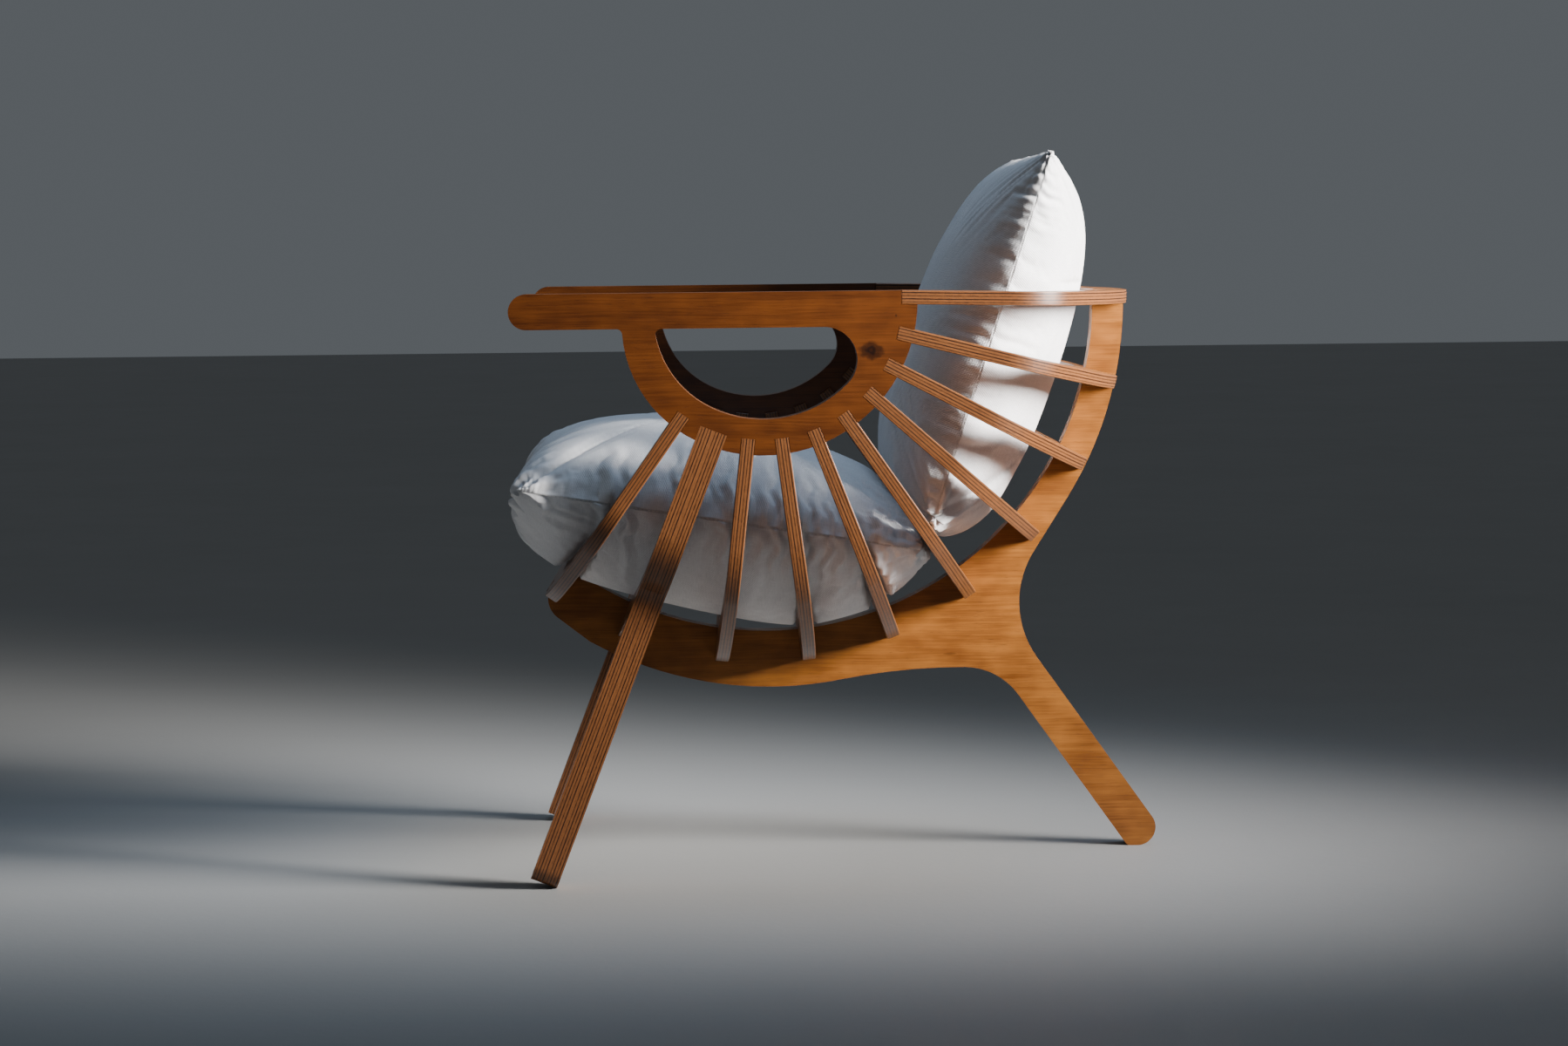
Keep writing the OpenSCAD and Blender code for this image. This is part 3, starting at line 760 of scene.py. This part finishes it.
# %% [markdown]
# ## Puckers
# Sewing gathers more cloth into the seam than the stuffed side needs, so folds run out square
# from it, longer on the slack seat cushion than on the tight back one, and others fan out from
# each ear. A fold of cloth is a round ridge between two sharp valleys, so the valleys are put
# where a seeded wave crosses zero. The waves are the same on every run.

# %% Waves for the folds
DRAWN, WAVE_START = 4096, 1000
RIDGE_POWER, RIDGE_MEAN = 0.75, 0.42


def wave(places, length, seed):
    """Smooth noise from -1 to 1 along a line, with bumps about length apart."""
    drawn = np.random.default_rng(seed).uniform(-1, 1, DRAWN)
    spot = places / length + WAVE_START
    whole = np.floor(spot).astype(int)
    part = spot - whole
    part = part * part * (3 - 2 * part)
    return drawn[whole % DRAWN] * (1 - part) + drawn[(whole + 1) % DRAWN] * part


def ridges(places, length, seed):
    """Round ridges between sharp valleys."""
    return np.abs(wave(places, length, seed)) ** RIDGE_POWER - RIDGE_MEAN


def normals(points, faces):
    """The direction that the cloth faces at each point."""
    square = np.cross(points[faces[:, 2]] - points[faces[:, 0]],
                      points[faces[:, 3]] - points[faces[:, 1]])
    total = np.zeros_like(points)
    for k in range(4):
        np.add.at(total, faces[:, k], square)
    return total / np.maximum(np.linalg.norm(total, axis=1), TINY)[:, None]


print("waves: %d drawn numbers each" % DRAWN)

# %% [markdown]
# ## Folds from the seam and from the ears
# Along each side the folds have a strength and a reach that wander, they sway a little, and
# they turn outward near an ear. The sewing holds them down on the seam itself. At an ear the
# bunched cloth makes spokes round a small knob with a dip about it. Each wave has a seed of
# its own, counted on from the seed of the cushion.

# %% Fold the cloth
FAN, FAN_REACH, SWAY, SWAY_LENGTH = 0.35, 0.10, 0.005, 0.025
SMALL, SMALLER = 0.4, 2.2
STRONG, STRONG_CHANGE, STRONG_LENGTH = 0.45, 0.75, 0.075
REACH_CHANGE, REACH_LENGTH = 0.5, 0.030
EAR_CALM, EAR_CALM_REACH = 0.8, 0.03
FADE_POWER, HELD, HELD_REACH = 1.3, 0.75, 0.007
SPOKE_DEPTH, SPOKE_REACH, SPOKE_FADE, SPOKE_DEGREES = 0.0052, 0.03, 1.1, 15.0
SPOKE_SWAY, SPOKE_SWAY_LENGTH = 8, 0.02
KNOB_DEPTH, KNOB_SIZE, DIP, DIP_AT, DIP_WIDE = 0.0030, 0.014, 0.8, 0.025, 0.009
OTHER_PANEL = 500


def seam_folds(form, seed, height, length, period):
    """How far each point moves out or in for the folds along the four sides."""
    flat, panel = form["flat"][:, :2], form["flat"][:, 2] > 0
    size = flat.max(axis=0)
    depth = np.zeros(len(flat))
    for axis in (0, 1):
        line, middle = flat[:, 1 - axis], size[1 - axis] / 2
        to_ear = middle - np.abs(line - middle)
        for far in (False, True):
            away = size[axis] - flat[:, axis] if far else flat[:, axis]
            for upper in (False, True):
                mark = seed + 40 * axis + 20 * far
                fan = line + FAN * away * np.sign(line - middle) * np.exp(-to_ear / FAN_REACH)
                fan = fan + SWAY * wave(away, SWAY_LENGTH, mark + 6 + upper)
                small = ridges(fan, period / SMALLER, mark + 1)
                rows = ridges(fan, period, mark) + SMALL * small
                strong = STRONG + STRONG_CHANGE * np.abs(wave(line, STRONG_LENGTH, mark + 2))
                strong = strong * (1 - EAR_CALM * np.exp(-to_ear / EAR_CALM_REACH))
                change = REACH_CHANGE * wave(line, REACH_LENGTH, mark + 3 + upper)
                near = np.exp(-((away / (length * (1 + change))) ** FADE_POWER))
                near = near * (1 - HELD * np.exp(-away / HELD_REACH))
                depth += np.where(panel == upper, height * strong * rows * near, 0)
    return depth


def bunch_ears(form, seed, depth):
    """Adds the spokes and the knob of each ear to the depth of the folds."""
    flat, panel = form["flat"][:, :2], form["flat"][:, 2] > 0
    size = flat.max(axis=0)
    for ear, bunched in enumerate(form["ears"]):
        gap = np.abs(flat - np.array([ear % 2, ear // 2]) * size)
        reach = np.hypot(gap[:, 0], gap[:, 1])
        angle = np.degrees(np.arctan2(gap[:, 1], gap[:, 0])) + np.where(panel, 0, OTHER_PANEL)
        angle = angle + SPOKE_SWAY * wave(reach, SPOKE_SWAY_LENGTH, seed + 80 + ear)
        spoke = ridges(angle, SPOKE_DEGREES, seed + 90 + ear)
        share = reach / SPOKE_REACH
        depth += SPOKE_DEPTH * bunched * spoke * share * np.exp(1 - share**SPOKE_FADE)
        dip = DIP * np.exp(-(((reach - DIP_AT) / DIP_WIDE) ** 2))
        depth += KNOB_DEPTH * bunched * (np.exp(-((reach / KNOB_SIZE) ** 2)) - dip)


FACES = panel_faces(CELLS + 1)
for label, form in FORMS.items():
    depth = seam_folds(form, **form["creases"])
    bunch_ears(form, form["creases"]["seed"], depth)
    form["folds"] = normals(form["points"], FACES) * depth[:, None]
    print(label, "folds up to %.1f mm" % (1000 * np.abs(depth).max()))

# %% [markdown]
# ## Between the fine cloth and the coarse one
# The simulation runs on every third line of the grid, so it stays quick. Its movement is drawn
# out to the fine grid along smooth curves. The slow part of a movement is found by averaging
# each point with its neighbours many times over.

# %% Thin out, draw out and calm
COARSE_FACES = panel_faces(COARSE + 1)


def coarse(points):
    """Every third line of both panels."""
    return join_panels(*[grid[::FINER, ::FINER] for grid in split_panels(points)])


def spread(grid):
    """A coarse grid of travel drawn out smoothly to the fine one."""
    for axis in (0, 1):
        grid = np.moveaxis(grid, axis, 0)
        wide = np.concatenate([grid[:1], grid, grid[-1:]])
        fine = []
        for step in range(FINER):
            t = step / FINER
            weights = (-t + 2 * t * t - t**3, 2 - 5 * t * t + 3 * t**3,
                       t + 4 * t * t - 3 * t**3, t**3 - t * t)
            parts = (wide[:-3], wide[1:-2], wide[2:-1], wide[3:])
            fine.append(sum(w * part for w, part in zip(weights, parts)) / 2)
        drawn = np.stack(fine, axis=1).reshape(-1, *grid.shape[1:])
        grid = np.moveaxis(np.concatenate([drawn, grid[-1:]]), 0, axis)
    return grid


def calm(field, rounds):
    """Smooths a value on both panels by averaging each point with its neighbours."""
    upper, lower = split_panels(field)
    for _ in range(rounds):
        blurred = []
        for grid in (upper, lower):
            wide = np.pad(grid, ((1, 1), (1, 1), (0, 0)), "edge")
            around = wide[2:, 1:-1] + wide[:-2, 1:-1] + wide[1:-1, 2:] + wide[1:-1, :-2]
            blurred.append(around / 4)
        upper, lower = blurred
        seam = (upper + lower) / 2
        for edge in ((0, slice(None)), (-1, slice(None)), (slice(None), 0), (slice(None), -1)):
            upper[edge] = lower[edge] = seam[edge]
    return join_panels(upper, lower)


print("cloth to simulate: %d faces" % len(COARSE_FACES))

# %% [markdown]
# ## Let the cloth find its rest
# A short cloth simulation with air pressure inside turns the drawn folds into real ones: near
# the seam the cloth is made a little longer than its seam, so it buckles there. Only the fine
# part of the movement is kept. The slow swelling is taken out again, so the cushion keeps the
# outline that was measured. The pressure irons out the finest folds, so most of their drawn
# depth is laid back over the rested cloth.

# %% Simulate the cloth
CAP, FRESH, SLOW_ROUNDS, FRAMES = 0.010, 0.75, 160, 16
SEAM_HOLD, GATHER_REACH, ON_SEAM = 0.9, 0.035, 1e-6
CLOTH = dict(
    quality=6, mass=0.25, tension_stiffness=12, compression_stiffness=12,
    bending_stiffness=0.15, use_pressure=True, uniform_pressure_force=3.5,
    vertex_group_shrink="gather", shrink_min=-0.004, shrink_max=-0.085,
    vertex_group_mass="seam", pin_stiffness=1.0,
)


def from_seam(flat):
    """How far each point of the cloth lies from the seam."""
    place = flat[:, :2]
    return np.minimum(place, place.max(axis=0) - place).min(axis=1)


def coarse_cushion(start, form, name):
    """A cushion of coarse cloth, its seam held and the cloth beside the seam gathered."""
    mesh = bpy.data.meshes.new(name)
    mesh.from_pydata((start + np.array(HUB)).tolist(), [], COARSE_FACES.tolist())
    cushion = show(name, mesh)
    away = from_seam(coarse(form["flat"]))
    hold = cushion.vertex_groups.new(name="seam")
    hold.add(np.flatnonzero(away < ON_SEAM).tolist(), SEAM_HOLD, "REPLACE")
    gather = cushion.vertex_groups.new(name="gather")
    for number, weight in enumerate(np.exp(-away / GATHER_REACH)):
        gather.add([number], float(weight), "REPLACE")
    return cushion


def stuff(cushion):
    """Sets the cloth soft and light, and blows the cushion up a little."""
    cloth = cushion.modifiers.new("cloth", "CLOTH")
    for key, value in CLOTH.items():
        setattr(cloth.settings, key, value)
    cloth.settings.effector_weights.gravity = 0
    cloth.collision_settings.use_collision = False


def rest(form, name):
    """Points of the cushion after a cloth simulation has relaxed its folds."""
    start = settle(coarse(form["points"] + form["folds"]), form)
    cushion = coarse_cushion(start, form, name)
    stuff(cushion)
    for frame_number in range(1, FRAMES + 1):
        bpy.context.scene.frame_set(frame_number)
    shown = cushion.evaluated_get(bpy.context.evaluated_depsgraph_get())
    moved = np.empty(len(start) * 3)
    shown.data.vertices.foreach_get("co", moved)
    bpy.context.scene.frame_set(1)
    mesh = cushion.data
    bpy.data.objects.remove(cushion)
    bpy.data.meshes.remove(mesh)
    travel = moved.reshape(-1, 3) - np.array(HUB) - coarse(form["points"])
    travel = travel - calm(travel, SLOW_ROUNDS)
    far = np.linalg.norm(travel, axis=1)
    travel *= np.minimum(1, CAP / np.maximum(far, TINY))[:, None]
    print(name, "cloth moved %.1f mm, %.2f mm on average" % (1000 * far.max(), 1000 * far.mean()))
    fine = join_panels(*[spread(grid) for grid in split_panels(travel)])
    return settle(form["points"] + fine + FRESH * form["folds"], form)


for label, form in FORMS.items():
    form["rested"] = rest(form, label + "_cloth")

# %% [markdown]
# ## The seam
# Where the panels meet, the sewing pulls a narrow groove. A strip of small cells is cut in on
# both sides of the seam, the seam is sunk and the cloth beside it stands a little proud.

# %% Sew the panels
HEM, GROOVE, BEAD = 0.45, 0.0011, 0.0002


def smooth_piece(name, corners, faces):
    """A new object from corners and faces, shaded smooth."""
    mesh = bpy.data.meshes.new(name)
    mesh.from_pydata(corners, [], faces)
    for face in mesh.polygons:
        face.use_smooth = True
    return show(name, mesh)


def hemmed(grid):
    """Cuts a narrow strip of cells along all four sides of a grid."""
    for axis in (0, 1):
        grid = np.moveaxis(grid, axis, 0)
        first = grid[0] + HEM * (grid[1] - grid[0])
        last = grid[-1] + HEM * (grid[-2] - grid[-1])
        grid = np.concatenate([grid[:1], first[None], grid[1:-1], last[None], grid[-1:]])
        grid = np.moveaxis(grid, 0, axis)
    return grid


def rings(count):
    """Point numbers once round the seam, and once round each strip beside it."""
    loops = []
    for number, inset in ((0, 0), (0, 1), (1, 1)):
        grid = panel_numbers(count)[number]
        grid = grid[inset:count - inset, inset:count - inset]
        sides = (grid[0, :-1], grid[:-1, -1], grid[-1, :0:-1], grid[:0:-1, 0])
        loops.append(np.concatenate(sides))
    return loops


def sew(form, name):
    """The finished cushion, and the numbers of its seam points."""
    points = join_panels(*[hemmed(grid) for grid in split_panels(form["rested"])])
    flat = join_panels(*[hemmed(grid) for grid in split_panels(form["flat"])])
    count = CELLS + 3
    faces = panel_faces(count)
    out = normals(points, faces)
    seam, *strips = rings(count)
    points[seam] -= GROOVE * out[seam]
    for strip in strips:
        points[strip] += BEAD * out[strip]
    points = settle(points, form, SEWN_CLEAR) + np.array(HUB)
    cushion = smooth_piece(name, points.tolist(), faces.tolist())
    note(cushion.data, "cloth", "POINT", flat)
    note(cushion.data, "from_seam", "POINT", from_seam(flat))
    return cushion, seam


print("seam: groove %.1f mm deep" % (1000 * GROOVE))

# %% [markdown]
# ## The stitches
# The stitches are short thick threads that bridge the groove, laid along the finished surface.
# Each is a small tube of four rings with closed ends, thinner at both ends.

# %% Lay the stitches
PITCH, STITCH, THREAD_R, THREAD_SIDES = 0.0046, 0.0031, 0.00042, 5
THREAD_STOPS, THREAD_SHARES = (-0.5, -0.34, 0.34, 0.5), (0.4, 1.0, 1.0, 0.4)
THREAD_LIFT, THREAD_FLAT = 0.0002, 1.3
LAST_RING = len(THREAD_STOPS) - 1


def stitch_row(cushion, seam, name):
    """Threads along the seam of the finished surface."""
    points = cushion.data.vertices
    place = np.array([points[k].co for k in seam])
    facing = np.array([points[k].normal for k in seam])
    place, facing = (np.vstack([part, part[:1]]) for part in (place, facing))
    walked = np.concatenate([[0], np.cumsum(np.linalg.norm(np.diff(place, axis=0), axis=1))])
    corners, faces, sides = [], [], THREAD_SIDES
    for start in np.arange(PITCH, walked[-1] - PITCH, PITCH):
        stops = start + STITCH * np.array(THREAD_STOPS)
        spots = np.column_stack([np.interp(stops, walked, place[:, k]) for k in range(3)])
        up = np.array([np.interp(start, walked, facing[:, k]) for k in range(3)])
        run = spots[-1] - spots[0]
        run = run / np.linalg.norm(run)
        aside = np.cross(up, run)
        first = len(corners)
        for spot, share in zip(spots, THREAD_SHARES):
            lift = spot + up * (THREAD_LIFT + THREAD_R * (share - THREAD_SHARES[0]))
            for side in range(sides):
                angle = 2 * math.pi * side / sides
                ray = THREAD_FLAT * math.cos(angle) * aside + math.sin(angle) * up
                corners.append(lift + THREAD_R * share * ray)
        for ring in range(LAST_RING):
            for side in range(sides):
                a, b = first + ring * sides + side, first + ring * sides + (side + 1) % sides
                faces.append((a, b, b + sides, a + sides))
        faces.append(tuple(first + side for side in reversed(range(sides))))
        faces.append(tuple(first + LAST_RING * sides + side for side in range(sides)))
    return smooth_piece(name, corners, faces)


cushions, threads = {}, {}
for label, form in FORMS.items():
    cushions[label], seam = sew(form, label + "_cushion")
    threads[label] = stitch_row(cushions[label], seam, label + "_stitches")
    count = len(threads[label].data.vertices) // (len(THREAD_STOPS) * THREAD_SIDES)
    print(label, "stitches:", count)

# %% [markdown]
# ## Off-white cloth
# The cover is a plain woven cotton and linen mix with a slub here and there and a faint cool
# and warm mottling. The weave is drawn two to three millimetres wide, coarser than real thread,
# so that it shows in a picture of the whole chair. The needle gathers the cloth beside the seam
# into fine short wrinkles, too small for the grid.

# %% Cloth finish
WEFT, WARP = 2 * math.pi / 0.0030, 2 * math.pi / 0.0022
WARP_DRIFT = 900.0
THICK_WEFT, THICK_WARP = (75.0, 900.0, 1.0), (900.0, 75.0, 1.0)
MOTTLE_SCALE, WORN_SCALE, GATHER_SCALE = 11.0, 45.0, 260.0
WEAVE_DEPTH = 0.0005


def woven(name, low, high):
    """A woven cloth between two colours."""
    cloth = Finish(name)
    spot = cloth.attribute("cloth", "Vector")
    weft, warp, _ = spot.parts()
    off_seam = cloth.attribute("from_seam")
    slub = cloth.noise(spot * THICK_WEFT, 1.0, 2.0)
    nub = cloth.noise(spot * THICK_WARP, 1.0, 2.0)
    cross = (warp * WARP + weft * WARP_DRIFT).maths("SINE") * (weft * WEFT).maths("SINE")
    weave = 0.5 + 0.5 * cross
    mottle = cloth.noise(spot, MOTTLE_SCALE, 3.0)
    worn = cloth.noise(spot, WORN_SCALE, 2.0)
    tone = 0.55 + (mottle - MIDDLE) * 0.5 + (worn - MIDDLE) * 0.3
    tone = tone + (slub - MIDDLE) * 0.6 + (nub - MIDDLE) * 0.6 + (weave - MIDDLE) * 0.12
    # Painted shade: the cloth is darkened in the narrow sunk groove of the seam, where shade
    # falls.
    tone = tone - 0.35 * (1 - off_seam.smooth(0.0004, 0.0022))
    colour = cloth.mix(tone.smooth(0.0, 1.0), low, high)
    beside = 1 - off_seam.smooth(0.002, 0.02)
    gathers = cloth.noise(spot * (1.0, 1.0, 0.0), GATHER_SCALE, 1.0) * beside
    height = weave * 0.6 + slub * 0.55 + nub * 0.55 + gathers * 1.2
    return cloth.dress(colour, 0.84 + 0.1 * (slub - MIDDLE), height, WEAVE_DEPTH,
                       Sheen_Weight=0.2, Sheen_Roughness=0.5)


def thread_finish():
    """A twisted thread a little lighter than the cloth."""
    thread = Finish("cushion_thread")
    spot = thread.add("ShaderNodeTexCoord", {}, {}, "Object")
    twist = thread.noise(spot, 1500.0, 1.0)
    colour = thread.mix(twist, (0.6, 0.57, 0.53), (0.86, 0.84, 0.8))
    return thread.dress(colour, 0.6 + 0.2 * twist, twist, 0.0001)


linen = woven("cushion_cloth", (0.57, 0.56, 0.565), (0.82, 0.81, 0.81))
sewing = thread_finish()
for label, cushion in cushions.items():
    for piece, finish in ((cushion, linen), (threads[label], sewing)):
        piece.data.materials.append(finish)
        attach(piece, label + "_cushion")
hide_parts("seat_panel_top", "seat_panel_under", "seat_filling")
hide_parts("back_panel_front", "back_panel_rear", "back_filling")
print("cloth on two cushions")

# %% [markdown]
# ## The floor
# A plain pale floor takes the shadow of the chair. It is stage, and no part of the chair.

# %% Floor
FLOOR_SIZE = 40.0
floor_mesh = bpy.data.meshes.new("floor")
edge = FLOOR_SIZE / 2
floor_mesh.from_pydata(
    [(-edge, -edge, 0), (edge, -edge, 0), (edge, edge, 0), (-edge, edge, 0)], [], [(0, 1, 2, 3)]
)
floor = show("floor", floor_mesh)
paint = Finish("floor_paint")
spot = paint.add("ShaderNodeTexCoord", {}, {}, "Object")
tint = paint.mix(paint.noise(spot, 1.3, 3.0), (0.27, 0.27, 0.266), (0.31, 0.31, 0.303))
floor.data.materials.append(
    paint.dress(tint, 0.55 + 0.1 * paint.noise(spot, 6.0), paint.noise(spot, 90.0), 0.0002)
)
print("floor: %.0f m wide" % FLOOR_SIZE)

# %% [markdown]
# ## The light
# In the picture daylight comes from behind the chair, on the right, and loses strength toward
# the front, so the strongest light stands close on that side. A cool one hangs above like a
# patch of sky, and a faint cool one further off on the right keeps the arms from going black.

# %% Lights
AIR_COLOUR, AIR_STRENGTH = (0.60, 0.66, 0.72, 1), 0.17


def soft_light(name, place, aim, size, power, colour, spread):
    """A lamp with a large face, in watts, whose beam spreads by some degrees."""
    lamp = bpy.data.lights.new(name, "AREA")
    lamp.shape = "RECTANGLE"
    lamp.size, lamp.size_y = size
    lamp.energy = power
    lamp.color = colour
    lamp.spread = math.radians(spread)
    holder = show(name, lamp)
    holder.location = place
    holder.rotation_euler = (Vector(aim) - Vector(place)).to_track_quat("-Z", "Y").to_euler()


soft_light("window", (0.75, 1.75, 1.1), (0.1, 0.3, 0.68), (1.0, 0.9), 35, (1.0, 0.975, 0.95), 46)
soft_light("sky", (-0.3, 0.4, 2.5), (0, -0.2, 0.5), (1.4, 1.4), 3.6, (0.50, 0.71, 1.0), 60)
soft_light("fill", (2.4, 3.0, 1.6), (0, 0.4, 0.6), (1.6, 1.6), 2.0, (0.70, 0.82, 1.0), 50)
world = bpy.context.scene.world or bpy.data.worlds.new("studio_air")
bpy.context.scene.world = world
world.use_nodes = True
air = world.node_tree.nodes["Background"]
air.inputs["Color"].default_value = AIR_COLOUR
air.inputs["Strength"].default_value = AIR_STRENGTH
print("three soft lights")
